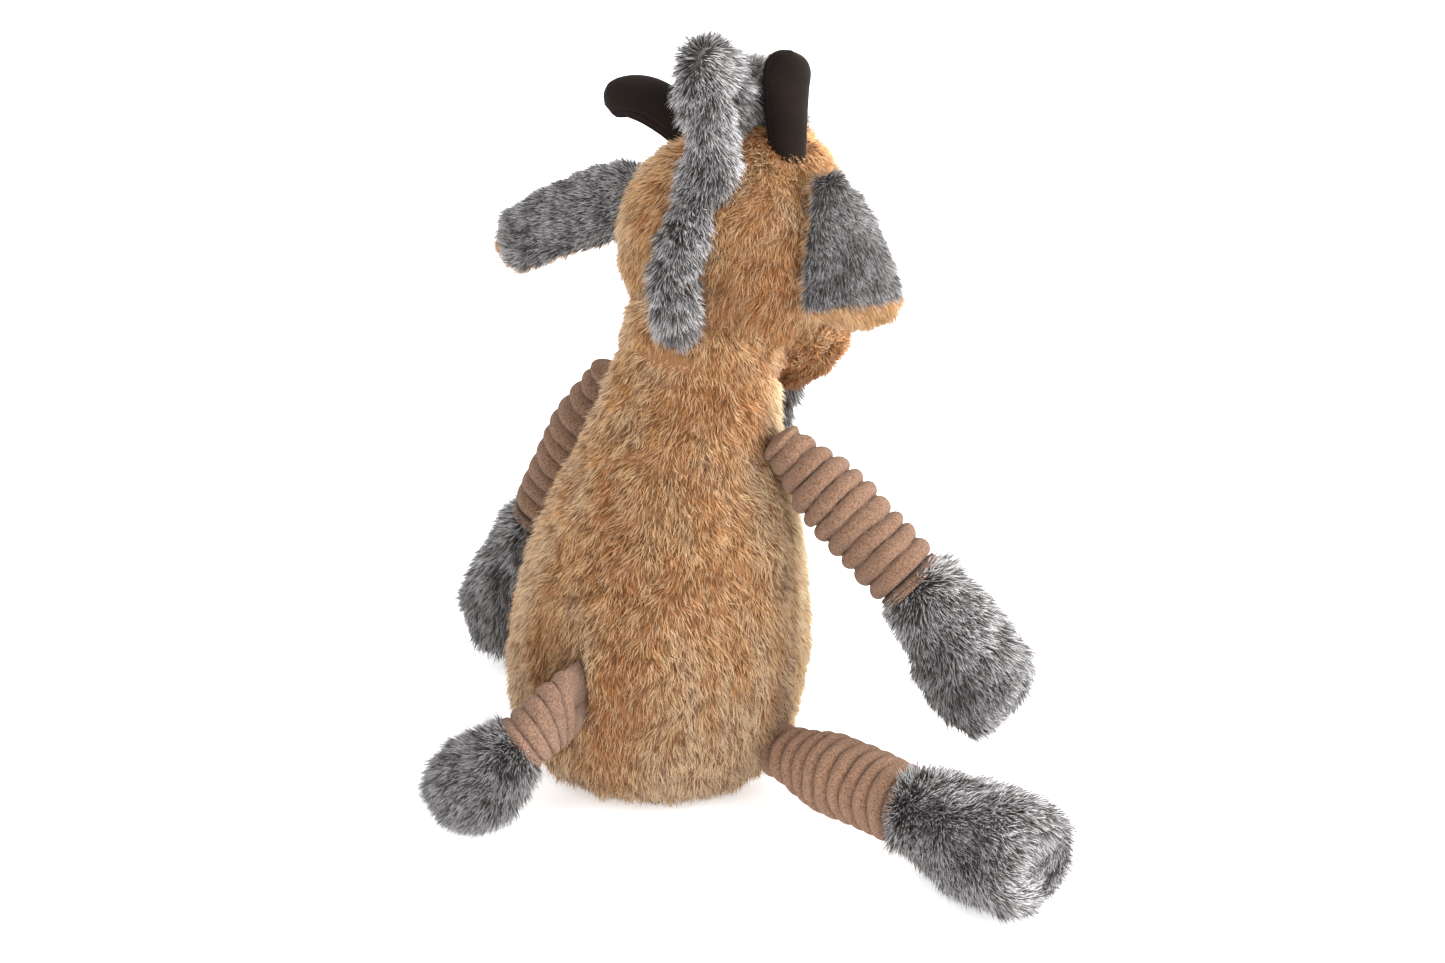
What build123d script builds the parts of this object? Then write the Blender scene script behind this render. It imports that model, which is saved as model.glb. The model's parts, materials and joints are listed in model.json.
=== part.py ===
from build123d import *
import os
from math import asin, cos, degrees, radians, sin

# Stuffed plush goat, seated on the floor and facing -Y. Its own right side is -X.
# The origin is the middle of the flat seat, +Z is up, and sizes are in millimetres.

# ---- driving dimensions ----
wall = 4.0                 # plush backing and flattened pile, as one sewn cover
clearance = 0.4            # running gap between parts on different bodies
cut_size = 400.0           # larger than the toy, for cutting boxes

# torso: height, forward shift and radius of each round section
torso_sections = [
    (0.0, 0.0, 54.0),
    (8.0, 0.0, 61.0),
    (24.0, 0.0, 65.0),
    (48.0, 0.0, 66.0),
    (88.0, -4.0, 61.0),
    (116.0, -11.0, 54.5),
    (146.0, -18.5, 45.0),
    (172.0, -26.0, 38.5),
    (196.0, -38.0, 33.0),
]
seat_panel_height = 10.0   # the base panel turns up the sides by this much
side_seam_low = -4.0       # Y of the side seam at the floor
side_seam_lean = 8.4       # degrees that the side seam leans forward

neck_pivot = (0.0, -33.4, 183.6)
neck_tilt = 36.0           # degrees that the neck leans forward from upright
neck_ball_radius = 34.8
neck_band = 5.2            # bare neck on each side of the neck seam
neck_opening_radius = 49.0 # the head is cut square to the neck this far out, and the chin hangs past it

cranium_centre = (0.0, -56.0, 222.0)
cranium_radius = 48.0
nape_centre = (0.0, -45.0, 205.0)
nape_radius = 40.0
muzzle_root = (0.0, -70.0, 201.0)
muzzle_drop = 50.0         # degrees that the muzzle points below level
muzzle_sections = [(0.0, 41.0), (20.0, 37.5), (38.0, 33.5), (54.0, 29.0), (66.0, 20.0)]
muzzle_seam = 38.0         # distance from the root to the muzzle seam

eye_radius = 5.5
eye_washer_radius = 8.0
nose_size = (17.0, 11.0)
beard_length = 30.0

crest_width = 24.0
ear_length = 73.0
ear_width = 50.0
ear_outer_thickness = 3.0
ear_lining_thickness = 2.2

sleeve_radius = 15.0
hoof_ball_radius = 14.2
shoulder_radius = 11.0     # sleeves narrow towards the seam that holds them
arm_sleeve_length = 75.0
leg_sleeve_radius = 17.0
hip_radius = 13.5
foot_ball_radius = 16.2
leg_sleeve_length = 72.0
taper_length = 16.0
sleeve_wall = 2.5
hoof_wall = 4.0
cuff_setback = 6.0         # how far the cuff stops short of the wrist or ankle
sole_thickness = 2.0
hand_sections = [(0.0, 13.0), (8.0, 18.5), (20.0, 23.0), (36.0, 23.5), (46.0, 19.5)]
foot_sections = [(0.0, 15.0), (12.0, 22.5), (32.0, 28.0), (52.0, 28.0), (66.0, 23.0)]

tail_root = (0.0, 69.8, 57.0)
tail_root_radius = 5.0
tail_root_height = 32.0
tail_length = 31.0
tail_direction = (24.0, 35.0, -28.0)
tail_ball_radius = 11.0
tail_end_radius = 12.5
tuft_sections = [(0.0, 9.5), (8.0, 18.0), (20.0, 24.5), (34.0, 23.0), (44.0, 14.0)]

os.makedirs("parts", exist_ok=True)


def unit(v):
    return Vector(*v).normalized()


def along(start, direction, distance):
    return Vector(*start) + unit(direction) * distance


def section_plane(start, direction, distance):
    """A plane square to a limb's axis, some way along it."""
    return Plane(origin=along(start, direction, distance), z_dir=unit(direction))


def round_loft(planes_and_radii):
    """A solid through round sections."""
    with BuildPart() as form:
        for plane, radius in planes_and_radii:
            with BuildSketch(plane):
                Circle(radius)
        loft()
    return form.part


def ball(centre, radius):
    with BuildPart() as form:
        with Locations(centre):
            Sphere(radius)
    return form.part


def half_space(plane):
    """A large block that fills the +Z side of a plane."""
    with BuildPart() as form:
        with BuildSketch(plane):
            Rectangle(2 * cut_size, 2 * cut_size)
        extrude(amount=cut_size)
    return form.part


def save(solid, name):
    solid.label = name
    export_step(solid, f"parts/{name}.step")


def trimmed(start_form, kept=(), removed=()):
    """Keep what lies in all of one list of forms and in none of the other."""
    with BuildPart() as form:
        add(start_form)
        for other in kept:
            add(other, mode=Mode.INTERSECT)
        for other in removed:
            add(other, mode=Mode.SUBTRACT)
    return form.part


# ---- shared cutting forms ----
neck_axis = Vector(0, -sin(radians(neck_tilt)), cos(radians(neck_tilt)))
neck_plane = Plane(origin=neck_pivot, z_dir=neck_axis)
above_torso_rim = half_space(neck_plane.offset(-neck_band))
above_head_rim = half_space(neck_plane.offset(neck_band))
neck_cup = ball(neck_pivot, neck_ball_radius + clearance)
left_half = half_space(Plane(origin=(0, 0, 0), z_dir=(1, 0, 0)))
lean = radians(side_seam_lean)
behind_side_seam = half_space(Plane(origin=(0, side_seam_low, 0), z_dir=(0, cos(lean), sin(lean))))

# ---- limb placement: side, root, direction ----
limbs = {
    "right_arm": dict(start=(-55.5, -22.0, 147.0), direction=(-76.0, -9.0, -62.0)),
    "left_arm": dict(start=(58.0, -41.0, 140.0), direction=(36.0, 17.0, -92.0)),
    "right_leg": dict(start=(-73.5, 4.0, 20.6), direction=(-94.0, 20.0, 7.6)),
    "left_leg": dict(start=(50.0, -51.0, 20.6), direction=(30.0, -90.0, 7.6)),
}
for limb_name, limb in limbs.items():
    is_arm = limb_name.endswith("arm")
    limb["radius"] = sleeve_radius if is_arm else leg_sleeve_radius
    limb["root"] = shoulder_radius if is_arm else hip_radius
    limb["length"] = arm_sleeve_length if is_arm else leg_sleeve_length
    limb["ball"] = hoof_ball_radius if is_arm else foot_ball_radius
    limb["sections"] = hand_sections if is_arm else foot_sections

# ---- torso: two back panels, a belly panel, a seat panel and the filling ----
limb_recesses = [ball(limb["start"], limb["root"] + clearance) for limb in limbs.values()]
with BuildPart() as tail_recess:
    with BuildSketch(Plane(origin=(0, tail_root[1], tail_root[2] - tail_root_height / 2 - 1))):
        Circle(tail_root_radius + clearance)
    extrude(amount=tail_root_height + 2)
torso_cuts = [above_torso_rim, neck_cup, tail_recess.part] + limb_recesses

torso_outer = round_loft([(Plane(origin=(0, y, z)), r) for z, y, r in torso_sections])
torso_fill_sections = [(max(z, wall), y, r - wall) for z, y, r in torso_sections if z != 8.0]
torso_inner = round_loft([(Plane(origin=(0, y, z)), r) for z, y, r in torso_fill_sections])
torso_cover = trimmed(torso_outer, removed=[torso_inner] + torso_cuts)
above_seat_seam = half_space(Plane.XY.offset(seat_panel_height))

back_cover = trimmed(torso_cover, kept=[above_seat_seam, behind_side_seam])
save(trimmed(back_cover, kept=[left_half]), "torso_back_left_panel")
save(trimmed(back_cover, removed=[left_half]), "torso_back_right_panel")
save(trimmed(torso_cover, kept=[above_seat_seam], removed=[behind_side_seam]), "torso_belly_panel")
save(trimmed(torso_cover, removed=[above_seat_seam]), "torso_seat_panel")
save(trimmed(torso_inner, removed=torso_cuts), "torso_stuffing")

# ---- neck: a stuffed ball that the head turns and nods on ----
with BuildPart() as neck:
    with Locations(neck_pivot):
        Sphere(neck_ball_radius)
    add(above_head_rim, mode=Mode.SUBTRACT)
save(neck.part, "neck_stuffing")

# ---- head: two side panels, a muzzle, filling, eyes and nose ----
muzzle_axis = Vector(0, -cos(radians(muzzle_drop)), -sin(radians(muzzle_drop)))


def head_form(inset):
    """Cranium, nape and muzzle as one form, thinner all round by the inset."""
    with BuildPart() as form:
        with Locations(cranium_centre):
            Sphere(cranium_radius - inset)
        with Locations(nape_centre):
            Sphere(nape_radius - inset)
        muzzle_planes = []
        for distance, radius in muzzle_sections:
            reach = min(distance, muzzle_sections[-1][0] - inset)
            muzzle_planes.append((section_plane(muzzle_root, muzzle_axis, reach), radius - inset))
        add(round_loft(muzzle_planes))
        add(below_neck_seam, mode=Mode.SUBTRACT)
    return form.part


with BuildPart() as neck_opening:
    with BuildSketch(Plane(origin=neck_plane.offset(neck_band + clearance).origin, z_dir=-neck_axis)):
        Circle(neck_opening_radius)
    extrude(amount=60.0)
below_neck_seam = neck_opening.part
head_outer = head_form(0.0)
head_inner = head_form(wall)
beyond_muzzle_seam = half_space(section_plane(muzzle_root, muzzle_axis, muzzle_seam))

eyes = {}
for side, sign in (("left", 1), ("right", -1)):
    eye_direction = unit((sign * 0.62, -0.75, 0.22))
    eye_place = Vector(*cranium_centre) + eye_direction * (cranium_radius - 1.5)
    with BuildPart() as eye:
        with Locations(eye_place):
            Sphere(eye_radius)
        with BuildSketch(Plane(origin=eye_place, z_dir=-eye_direction)):
            Circle(1.6)
        extrude(amount=13.0)
    eyes[side] = eye.part
    washer_plane = Plane(origin=eye_place - eye_direction * 8.0, z_dir=-eye_direction)
    with BuildPart() as washer:
        with BuildSketch(washer_plane):
            Circle(eye_washer_radius)
            Circle(1.6, mode=Mode.SUBTRACT)
        extrude(amount=1.5)
    eyes[side + "_washer"] = washer.part

nose_place = along(muzzle_root, muzzle_axis, 63.0)
with BuildPart() as nose:
    with Locations(Plane(origin=nose_place + Vector(0, 0, 9.0), x_dir=(1, 0, 0), z_dir=muzzle_axis)):
        Box(nose_size[0], nose_size[1], 7.0)
    fillet(nose.edges().filter_by(Axis((0, 0, 0), tuple(muzzle_axis))), 4.0)

head_cover = trimmed(head_outer, removed=[head_inner] + list(eyes.values()) + [nose.part])
save(trimmed(head_cover, kept=[left_half], removed=[beyond_muzzle_seam]), "head_left_panel")
save(trimmed(head_cover, removed=[left_half, beyond_muzzle_seam]), "head_right_panel")
save(trimmed(head_cover, kept=[beyond_muzzle_seam]), "muzzle_cover")
save(trimmed(head_inner, removed=list(eyes.values()) + [nose.part]), "head_stuffing")
save(nose.part, "nose_pad")
for side in ("left", "right"):
    save(eyes[side], f"eye_{side}")
    save(eyes[side + "_washer"], f"eye_washer_{side}")

# ---- beard: a tuft of long pile under the chin ----
chin = along(muzzle_root, muzzle_axis, 44.0) + Vector(0, 4.0, -22.0)
beard_form = round_loft([
    (Plane(origin=chin + Vector(0, 0, 4.0)), 10.0),
    (Plane(origin=chin - Vector(0, -2.0, beard_length * 0.5)), 8.0),
    (Plane(origin=chin - Vector(0, -3.0, beard_length)), 3.0),
])
save(trimmed(beard_form, removed=[head_outer]), "beard_tuft")

# ---- crest: a stuffed strip of long pile from the nape over the crown ----
crest_outline = [
    (-18.0, 184.0), (1.0, 205.0), (4.0, 222.0), (0.0, 240.0), (-12.0, 256.0), (-22.0, 270.0),
    (-24.0, 288.0), (-30.0, 303.0), (-46.0, 312.0), (-66.0, 310.0), (-76.0, 296.0), (-78.0, 262.0),
    (-50.0, 240.0), (-30.0, 215.0),
]
crest_hollow = [(-27.0, 260.0), (-28.0, 286.0), (-34.0, 300.0), (-48.0, 308.0), (-64.0, 306.0),
                (-72.0, 294.0), (-74.0, 262.0), (-50.0, 250.0)]


def crest_form(outline, half_width):
    """A side outline, as thick as the strip, cut back to the head's surface."""
    with BuildPart() as form:
        with BuildSketch(Plane.YZ.offset(-half_width)):
            with BuildLine():
                Polyline(*outline, close=True)
            make_face()
        extrude(amount=2 * half_width)
        add(head_outer, mode=Mode.SUBTRACT)
        add(below_neck_seam, mode=Mode.SUBTRACT)
    return form.part


crest_outer = crest_form(crest_outline, crest_width / 2)
crest_inner = crest_form(crest_hollow, crest_width / 2 - wall)
save(trimmed(crest_outer, removed=[crest_inner]), "crest_cover")
save(crest_inner, "crest_stuffing")

forelock_outline = [(-78.4, 300.0), (-90.0, 292.0), (-99.0, 272.0), (-103.0, 250.0), (-100.0, 240.0)]
with BuildPart() as forelock:
    with BuildSketch(Plane.YZ.offset(-9.0)):
        with BuildLine():
            Spline(*forelock_outline)
            Line(forelock_outline[-1], (-80.0, 235.0))
            Line((-80.0, 235.0), forelock_outline[0])
        make_face()
    extrude(amount=18.0)
    add(head_outer, mode=Mode.SUBTRACT)
    add(crest_outer, mode=Mode.SUBTRACT)
save(forelock.part, "forelock_tuft")

# ---- horns: stuffed suede cones, each set its own way by the sewing ----
horns = {
    "left": [((22, -61, 256), (0.5, 0.1, 0.85), 9.5), ((33, -58, 272), (0.85, 0.25, 0.45), 9.5),
             ((45, -54, 278), (0.95, 0.35, 0), 9), ((57, -50, 275), (0.9, 0.35, -0.35), 6)],
    "right": [((-21, -64, 256), (0.1, -0.1, 1), 9.5), ((-19.5, -67, 275), (0, 0, 1), 9.5),
              ((-20.5, -66.5, 291), (-0.1, 0, 1), 9.5), ((-24, -65, 305), (-0.25, 0, 0.95), 6.5)],
}
for side, stations in horns.items():
    horn_outer = round_loft([(Plane(origin=p, z_dir=d), r) for p, d, r in stations])
    horn_inner = round_loft([(Plane(origin=p, z_dir=d), r * 0.8) for p, d, r in stations[:3]])
    save(trimmed(horn_outer, removed=[horn_inner, head_outer, crest_outer]), f"horn_{side}_cover")
    save(trimmed(horn_inner, removed=[head_outer, crest_outer]), f"horn_{side}_stuffing")

# ---- ears: grey outer and tan lining, sewn together and narrow at the root ----
ears = {
    "left": dict(root=(50.5, -63.0, 237.5), direction=(0.77, 0.40, -0.50), face=(0.1, 0.62, 0.78)),
    "right": dict(root=(-43.0, -57.0, 260.0), direction=(-0.44, 0.03, -0.9), face=(-1.0, 0.3, 0.3)),
}
for side, ear in ears.items():
    x_axis = unit(ear["direction"])
    raw_normal = unit(ear["face"])
    face_normal = (raw_normal - x_axis * raw_normal.dot(x_axis)).normalized()
    ear_plane = Plane(origin=ear["root"], x_dir=x_axis, z_dir=face_normal)
    for layer, low, thick in (("outer", 0.0, ear_outer_thickness),
                              ("lining", -ear_lining_thickness, ear_lining_thickness)):
        with BuildPart() as ear_layer:
            with BuildSketch(ear_plane.offset(low)):
                with BuildLine():
                    Spline((0, -5), (ear_length * 0.35, -ear_width * 0.4), (ear_length * 0.75, -ear_width * 0.5),
                           (ear_length, 0), (ear_length * 0.75, ear_width * 0.5),
                           (ear_length * 0.35, ear_width * 0.4), (0, 5))
                    Line((0, 5), (0, -5))
                make_face()
            extrude(amount=thick)
        save(ear_layer.part, f"ear_{side}_{layer}")

# ---- arms and legs: tapered sleeves with hooves, each one filled and turned about its axis ----


def turned(plane, outline, hole=None):
    """A solid of revolution about the plane's X axis, from points (distance, radius)."""
    with BuildPart() as form:
        with BuildSketch(plane):
            with BuildLine():
                Polyline(*outline, close=True)
            make_face()
            if hole:
                with BuildLine():
                    Polyline(*hole, close=True)
                make_face(mode=Mode.SUBTRACT)
        revolve(axis=Axis(plane.origin, plane.x_dir))
    return form.part


def arc_points(centre, radius, first, last, count=7):
    """Points on a circle about (centre, 0), by angle from the limb's direction."""
    step = (last - first) / (count - 1)
    angles = [radians(first + step * i) for i in range(count)]
    return [(centre + radius * cos(a), max(radius * sin(a), 0.0)) for a in angles]


def sleeve_outline(limb, inset, cup_first):
    """Rounded root, taper and straight tube, up to the hollow that takes the hoof's ball."""
    tube_r = limb["radius"] - inset
    cup_r = limb["ball"] + clearance
    points = arc_points(0.0, limb["root"] - inset, 180.0, 90.0) + [(taper_length, tube_r)]
    if inset == 0.0:
        points += [(limb["length"] - cuff_setback, tube_r)]
    return points + arc_points(limb["length"], cup_r, cup_first, 180.0)


for limb_name, limb in limbs.items():
    direction = unit(limb["direction"])
    limb_plane = Plane(origin=limb["start"], x_dir=direction, z_dir=direction.cross(Vector(0, 0, 1)))
    length = limb["length"]
    cup_radius = limb["ball"] + clearance
    filling_radius = limb["radius"] - sleeve_wall
    outer = sleeve_outline(limb, 0.0, 90.0 + degrees(asin(cuff_setback / cup_radius)))
    filling = sleeve_outline(limb, sleeve_wall, 180.0 - degrees(asin(filling_radius / cup_radius)))
    bore = arc_points(0.0, limb["root"] - sleeve_wall, 180.0, 90.0)
    bore += [(taper_length, filling_radius), (length, filling_radius), (length, 0.0)]
    save(turned(limb_plane, outer, bore), f"{limb_name}_sleeve")
    save(turned(limb_plane, filling), f"{limb_name}_stuffing")

    sections = [(length + d, r) for d, r in limb["sections"]]
    hoof_end = sections[-1][0]
    hoof_outline = arc_points(length, limb["ball"], 180.0, 100.0) + sections + [(hoof_end, 0.0)]
    hoof_hollow = [(length - 6.0, 0.0), (length + 2.0, sections[0][1] - hoof_wall)]
    hoof_hollow += [(d, r - hoof_wall) for d, r in sections[1:-1]]
    hoof_hollow += [(hoof_end - hoof_wall, sections[-1][1] - hoof_wall), (hoof_end - hoof_wall, 0.0)]
    hoof_name = f"{limb_name}_hoof"
    save(turned(limb_plane, hoof_outline, hoof_hollow), f"{hoof_name}_cover")
    save(turned(limb_plane, hoof_hollow), f"{hoof_name}_stuffing")
    sole_radius = sections[-1][1] - 0.5
    sole_outline = [(hoof_end, 0.0), (hoof_end, sole_radius)]
    sole_outline += [(hoof_end + sole_thickness, sole_radius), (hoof_end + sole_thickness, 0.0)]
    save(turned(limb_plane, sole_outline), f"{hoof_name}_sole")

# ---- tail: a ribbed sleeve flattened into the back seam, ending in a tuft ----
tail_tip = along(tail_root, tail_direction, tail_length)
tail_cup = ball(tail_tip, tail_ball_radius + clearance)


def tail_form(inset):
    """An upright flat root that opens into a round tube."""
    with BuildPart() as form:
        with BuildSketch(Plane(origin=tail_root, x_dir=(1, 0, 0), z_dir=unit((0.35, 1, 0)))):
            Ellipse(tail_root_radius - inset, tail_root_height / 2 - inset)
        with BuildSketch(section_plane(tail_root, tail_direction, tail_length * 0.6)):
            Circle(tail_end_radius + 0.5 - inset)
        with BuildSketch(section_plane(tail_root, tail_direction, tail_length - 4.0)):
            Circle(tail_end_radius - inset)
        loft()
        add(tail_cup, mode=Mode.SUBTRACT)
    return form.part


tail_outer = tail_form(0.0)
tail_inner = tail_form(2.5)
save(trimmed(tail_outer, removed=[tail_inner]), "tail_sleeve")
save(tail_inner, "tail_stuffing")

tuft_planes = [(section_plane(tail_root, tail_direction, tail_length + d), r) for d, r in tuft_sections]
with BuildPart() as tuft_outer:
    add(round_loft(tuft_planes))
    with Locations(tail_tip):
        Sphere(tail_ball_radius)
tuft_inner = round_loft([
    (section_plane(tail_root, tail_direction, tail_length + min(max(d, 3.0), 40.0)), r - wall)
    for d, r in tuft_sections
])
save(trimmed(tuft_outer.part, removed=[tuft_inner]), "tail_tuft_cover")
save(tuft_inner, "tail_tuft_stuffing")
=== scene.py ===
import json
import math

import bpy
import numpy as np
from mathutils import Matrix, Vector


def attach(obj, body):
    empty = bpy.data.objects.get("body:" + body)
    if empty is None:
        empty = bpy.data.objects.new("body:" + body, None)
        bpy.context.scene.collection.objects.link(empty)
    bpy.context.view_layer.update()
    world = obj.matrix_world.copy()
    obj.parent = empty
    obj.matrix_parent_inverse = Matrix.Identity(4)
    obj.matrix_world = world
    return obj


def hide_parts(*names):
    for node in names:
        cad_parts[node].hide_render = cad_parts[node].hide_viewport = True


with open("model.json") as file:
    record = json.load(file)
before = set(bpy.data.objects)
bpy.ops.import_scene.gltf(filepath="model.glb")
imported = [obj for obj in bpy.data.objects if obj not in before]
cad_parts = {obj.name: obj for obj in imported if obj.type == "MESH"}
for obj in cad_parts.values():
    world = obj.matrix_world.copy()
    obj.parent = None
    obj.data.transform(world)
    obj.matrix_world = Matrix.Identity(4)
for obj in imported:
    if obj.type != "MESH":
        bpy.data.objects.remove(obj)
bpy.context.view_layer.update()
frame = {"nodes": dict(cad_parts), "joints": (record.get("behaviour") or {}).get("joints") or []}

# ---- Studio ----
# A glowing white light table under a seated toy, lit softly from all round with one broad key light,
# and a long lens behind the toy's right shoulder, looking down on it.
AIM = Vector((0.0074, -0.0602, 0.1023))
AZIMUTH = math.radians(213)
ELEVATION = math.radians(28)
DISTANCE = 1.501
LAMP_DISTANCE = 1.6
FLOOR_REACH = 6.0
scene = bpy.context.scene


def outward(azimuth, elevation):
    """The direction from the toy to a viewer, from the two angles of the view."""
    level = math.cos(elevation)
    return Vector((math.sin(azimuth) * level, -math.cos(azimuth) * level, math.sin(elevation)))


def aimed(name, data, place, target):
    """Puts a camera or a lamp at a place, facing a target."""
    holder = bpy.data.objects.new(name, data)
    holder.location = place
    holder.rotation_euler = (target - place).to_track_quat("-Z", "Y").to_euler()
    scene.collection.objects.link(holder)
    return holder


lens = bpy.data.cameras.new("camera")
lens.lens = 85
lens.sensor_width = 36
scene.camera = aimed("camera", lens, AIM + outward(AZIMUTH, ELEVATION) * DISTANCE, AIM)

for lamp_name, turn, height, size, power in (
    ("key", math.radians(80), math.radians(26), 1.1, 46),
    ("fill", math.radians(-50), math.radians(42), 1.4, 14),
    ("front", math.radians(170), math.radians(38), 1.4, 13),
    ("low", math.radians(25), math.radians(12), 1.6, 13),
):
    lamp = bpy.data.lights.new(lamp_name, "AREA")
    lamp.size = size
    lamp.energy = power
    aimed(lamp_name, lamp, AIM + outward(AZIMUTH + turn, height) * LAMP_DISTANCE, AIM)

world = bpy.data.worlds.new("studio")
world.use_nodes = True
sky = world.node_tree.nodes["Background"].inputs
sky["Color"].default_value = (1, 1, 1, 1)
sky["Strength"].default_value = 0.66
scene.world = world
scene.view_settings.view_transform = "Standard"

floor_mesh = bpy.data.meshes.new("floor")
floor_corners = [(x * FLOOR_REACH, y * FLOOR_REACH, 0) for x, y in ((-1, -1), (1, -1), (1, 1), (-1, 1))]
floor_mesh.from_pydata(floor_corners, [], [(0, 1, 2, 3)])
floor = bpy.data.objects.new("floor", floor_mesh)
scene.collection.objects.link(floor)
paper = bpy.data.materials.new("white_paper")
paper.use_nodes = True
paper_inputs = paper.node_tree.nodes["Principled BSDF"].inputs
paper_inputs["Base Color"].default_value = (0.98, 0.98, 0.98, 1)
paper_inputs["Roughness"].default_value = 0.9
paper_inputs["Emission Color"].default_value = (1, 1, 1, 1)
paper_inputs["Emission Strength"].default_value = 0.44
floor_mesh.materials.append(paper)

# ---- Torso ----
# A pear-shaped stuffed body of short brown plush: two back panels with a seam down the middle,
# a lighter belly panel between the side seams, and a flat seat that it sits on.


class Wire:
    """A shader value. Arithmetic on it adds Math nodes to the material that it belongs to."""

    def __init__(self, finish, socket):
        self.finish = finish
        self.socket = socket

    def _math(self, kind, first, second):
        return self.finish.node("ShaderNodeMath", {"operation": kind}, {0: first, 1: second})

    def __add__(self, other):
        return self._math("ADD", self, other)

    def __mul__(self, other):
        return self._math("MULTIPLY", self, other)

    def __pow__(self, other):
        return self._math("POWER", self, other)


class Finish:
    """A material under construction. node() adds one node and returns one of its outputs as a Wire."""

    def __init__(self, name, roughness=0.9, sheen=0.0, specular=0.3):
        self.material = bpy.data.materials.new(name)
        self.material.use_nodes = True
        self.tree = self.material.node_tree
        self.shader = self.tree.nodes["Principled BSDF"]
        self.shader.inputs["Roughness"].default_value = roughness
        self.shader.inputs["Sheen Weight"].default_value = sheen
        self.shader.inputs["Sheen Roughness"].default_value = 0.5
        self.shader.inputs["Specular IOR Level"].default_value = specular

    def node(self, kind, settings=None, values=None, out=0):
        """Adds a node: its settings first (stops are a ramp's), then a value or a Wire for each socket."""
        made = self.tree.nodes.new(kind)
        for key, value in (settings or {}).items():
            if key == "stops":
                while len(made.color_ramp.elements) < len(value):
                    made.color_ramp.elements.new(0.5)
                for element, (place, colour) in zip(made.color_ramp.elements, value):
                    element.position = place
                    element.color = (*colour, 1)
            else:
                setattr(made, key, value)
        for key, value in (values or {}).items():
            if isinstance(value, Wire):
                self.tree.links.new(value.socket, made.inputs[key])
            elif value is not None:
                made.inputs[key].default_value = value
        return Wire(self, made.outputs[out])

    def attribute(self, name):
        return self.node("ShaderNodeAttribute", {"attribute_name": name}, out=2)

    def ramp(self, factor, stops):
        return self.node("ShaderNodeValToRGB", {"stops": stops}, {0: factor})

    def mix(self, factor, first, second):
        def colour(value):
            return value if isinstance(value, Wire) else (*value, 1)

        values = {0: factor, 6: colour(first), 7: colour(second)}
        return self.node("ShaderNodeMix", {"data_type": "RGBA"}, values, out=2)

    def noise(self, scale, detail=2.0, roughness=0.5):
        place = self.node("ShaderNodeTexCoord", out=3)
        values = {"Vector": place, "Scale": scale, "Detail": detail, "Roughness": roughness}
        return self.node("ShaderNodeTexNoise", values=values)

    def bump(self, height, depth):
        values = {"Strength": 1.0, "Distance": depth, "Height": height}
        self.set("Normal", self.node("ShaderNodeBump", values=values))

    def set(self, socket, wire):
        self.tree.links.new(wire.socket, self.shader.inputs[socket])


def unit(v):
    return v / np.maximum(np.linalg.norm(v, axis=-1, keepdims=True), 1e-12)


def spline(t, knots, values):
    """A smooth curve through values at the knots: cubic spans whose slopes are central differences."""
    knots = np.asarray(knots, float)
    values = np.asarray(values, float).reshape(len(knots), -1)
    slopes = np.gradient(values, knots, axis=0)
    i = np.clip(np.searchsorted(knots, t, "right") - 1, 0, len(knots) - 2)
    span = (knots[i + 1] - knots[i])[..., None]
    s = (t[..., None] - knots[i][..., None]) / span
    return (
        values[i] * (2 * s**3 - 3 * s**2 + 1)
        + slopes[i] * span * (s**3 - 2 * s**2 + s)
        + values[i + 1] * (3 * s**2 - 2 * s**3)
        + slopes[i + 1] * span * (s**3 - s**2)
    )


def ripple(points, size, seed):
    """Smooth noise of about -1 to 1: a sum of sine waves that run in random directions, about size apart."""
    rng = np.random.default_rng(seed)
    waves = unit(rng.normal(size=(16, 3))) * rng.uniform(0.6, 1.7, (16, 1)) * (2 * np.pi / size)
    phases = rng.uniform(0, 2 * np.pi, 16)
    return np.sin(points @ waves.T + phases).sum(-1) / 4.0


def rise(x, low, high):
    """0 below low, 1 above high, and a smooth step between."""
    s = np.clip((x - low) / (high - low), 0, 1)
    return s * s * (3 - 2 * s)


def grid_faces(grid):
    """Points and faces of a surface. Its end rows are poles, and its last column repeats its first."""
    rows, columns = grid.shape[0] - 2, grid.shape[1] - 1
    points = np.concatenate([grid[:1, 0], grid[1:-1, :-1].reshape(-1, 3), grid[-1:, 0]])
    ring = 1 + np.arange(rows)[:, None] * columns + np.arange(columns)
    after = np.roll(ring, -1, axis=1)
    quads = np.stack([ring[:-1], after[:-1], after[1:], ring[1:]], -1).reshape(-1, 4)
    last = len(points) - 1
    caps = np.concatenate([
        np.stack([np.zeros(columns, int), after[0], ring[0]], -1),
        np.stack([np.full(columns, last), ring[-1], after[-1]], -1),
    ])
    first, second, third = points[quads[:, 0]], points[quads[:, 1]], points[quads[:, 2]]
    middle = points.mean(0)
    if (np.cross(second - first, third - first) * (first - middle)).sum() < 0:
        quads, caps = quads[:, ::-1], caps[:, ::-1]
    return points, [quads, caps]


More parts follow.
